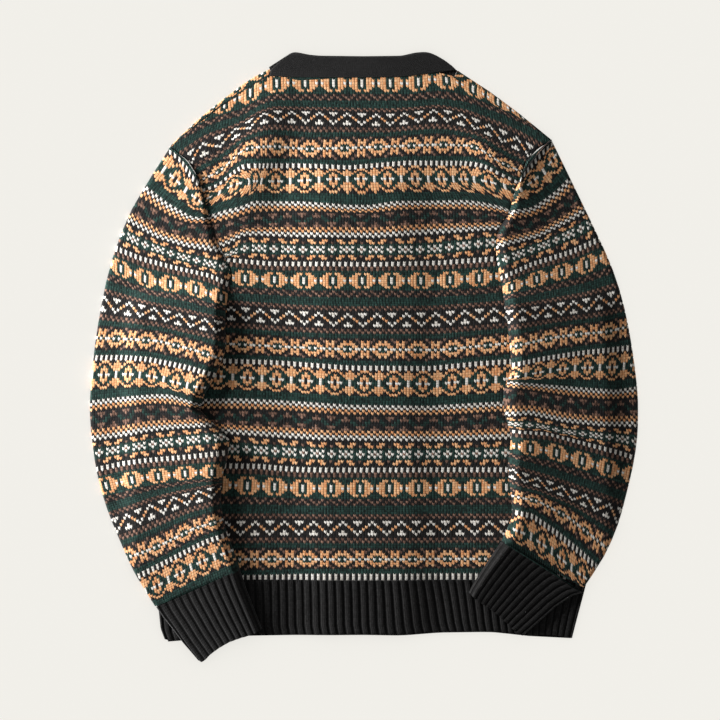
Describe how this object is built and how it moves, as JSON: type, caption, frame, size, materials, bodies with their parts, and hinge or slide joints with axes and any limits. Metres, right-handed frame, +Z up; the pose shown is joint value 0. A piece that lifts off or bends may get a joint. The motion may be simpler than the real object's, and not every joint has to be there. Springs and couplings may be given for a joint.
{
  "type": "nordic cardigan",
  "caption": "Fair Isle wool cardigan with ribbed cuffs and hem, buttoned and laid flat with its back upward and its sleeves folded down its sides.",
  "frame": {"origin": "centre of the garment's footprint on the table it lies on, at the height of the table", "axes": "+Z up from the table, out of the garment's back; +Y towards the neck; +X to the right as one looks down on the back"},
  "size_m": [0.646, 0.717, 0.0148],
  "materials": {
    "fair_isle_wool": "matte stranded wool knitting in charcoal, moss green, cream and orange",
    "charcoal_wool": "matte ribbed and plain wool knitting",
    "button_resin": "dark polished resin"
  },
  "bodies": {
    "root": {"back": "fair_isle_wool", "front_left": "fair_isle_wool", "front_right": "fair_isle_wool", "sleeve_left": "fair_isle_wool", "sleeve_right": "fair_isle_wool", "cuff_left": "charcoal_wool", "cuff_right": "charcoal_wool", "hem_rib_back": "charcoal_wool", "hem_rib_front_left": "charcoal_wool", "hem_rib_front_right": "charcoal_wool", "neck_band": "charcoal_wool", "buttonhole_band": "charcoal_wool", "button_band": "charcoal_wool", "button_1": "button_resin", "button_2": "button_resin", "button_3": "button_resin", "button_4": "button_resin", "button_5": "button_resin"}
  },
  "joints": []
}
